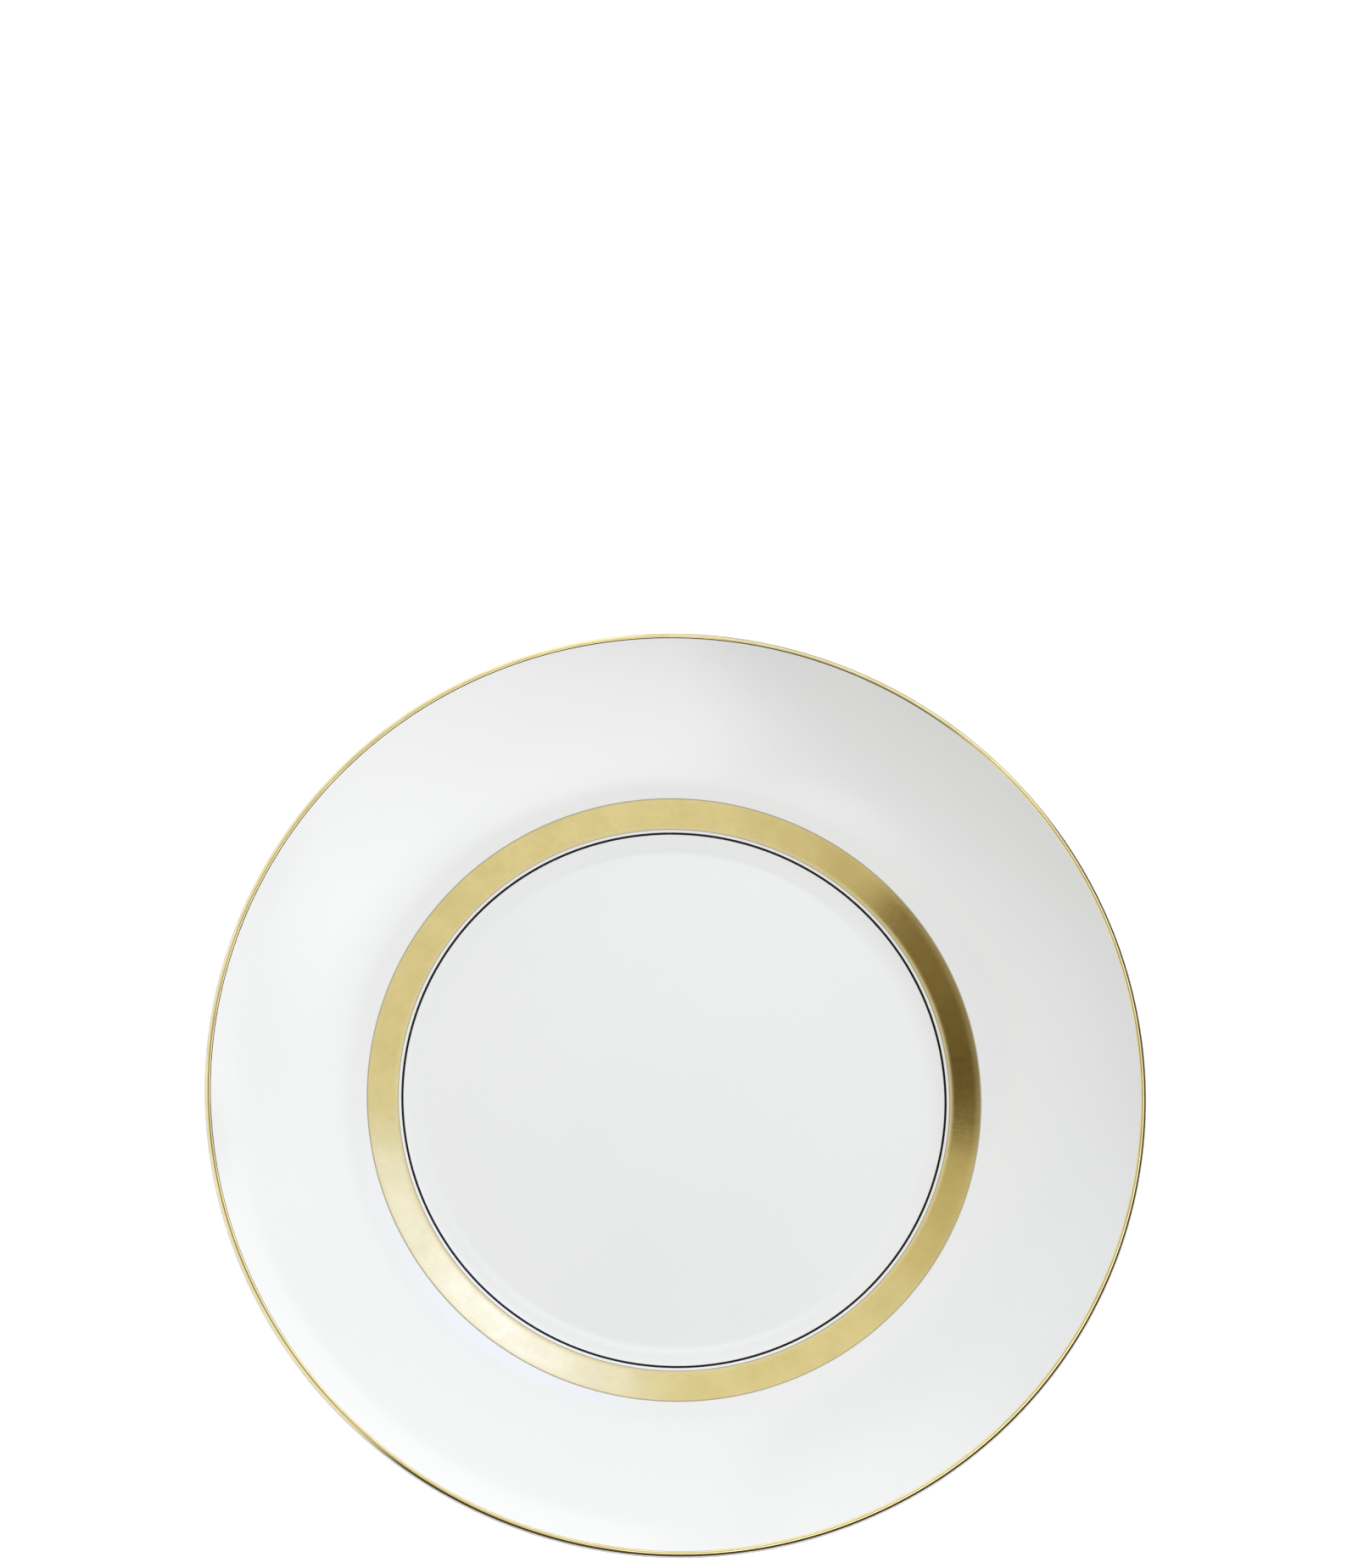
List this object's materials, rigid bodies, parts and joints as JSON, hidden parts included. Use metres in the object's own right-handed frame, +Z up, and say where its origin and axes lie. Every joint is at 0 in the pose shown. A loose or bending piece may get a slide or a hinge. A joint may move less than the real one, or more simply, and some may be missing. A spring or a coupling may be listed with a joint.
{
  "type": "dinner plate",
  "caption": "Round coupe dinner plate in glazed porcelain, with a flat well, a broad gold band and a fine dark line round it, a gold lip and a low foot ring.",
  "frame": {"origin": "centre of the foot ring's bearing face, on the surface the plate stands on", "axes": "+Z up along the plate's axis of revolution, out of the dining face; +X and +Y in the plane of the table"},
  "size_m": [0.27, 0.27, 0.0245],
  "materials": {
    "bisque_porcelain": "unglazed, polished matte, seen only on the foot ring's bearing face",
    "white_glaze": "clear high-gloss glaze over white porcelain",
    "satin_gold": "fired satin gold with a fine burnished grain, its edges slightly raised",
    "black_enamel": "glossy near-black fired enamel",
    "bright_gold": "bright burnished gold line",
    "grey_mark": "underside mark of plain rings, fired flat"
  },
  "bodies": {
    "root": {"porcelain_body": "bisque_porcelain", "glaze_coat": "white_glaze", "foot_recess_glaze": "white_glaze", "gold_band": "satin_gold", "black_line": "black_enamel", "gold_rim_line": "bright_gold", "backstamp": "grey_mark"}
  },
  "joints": []
}
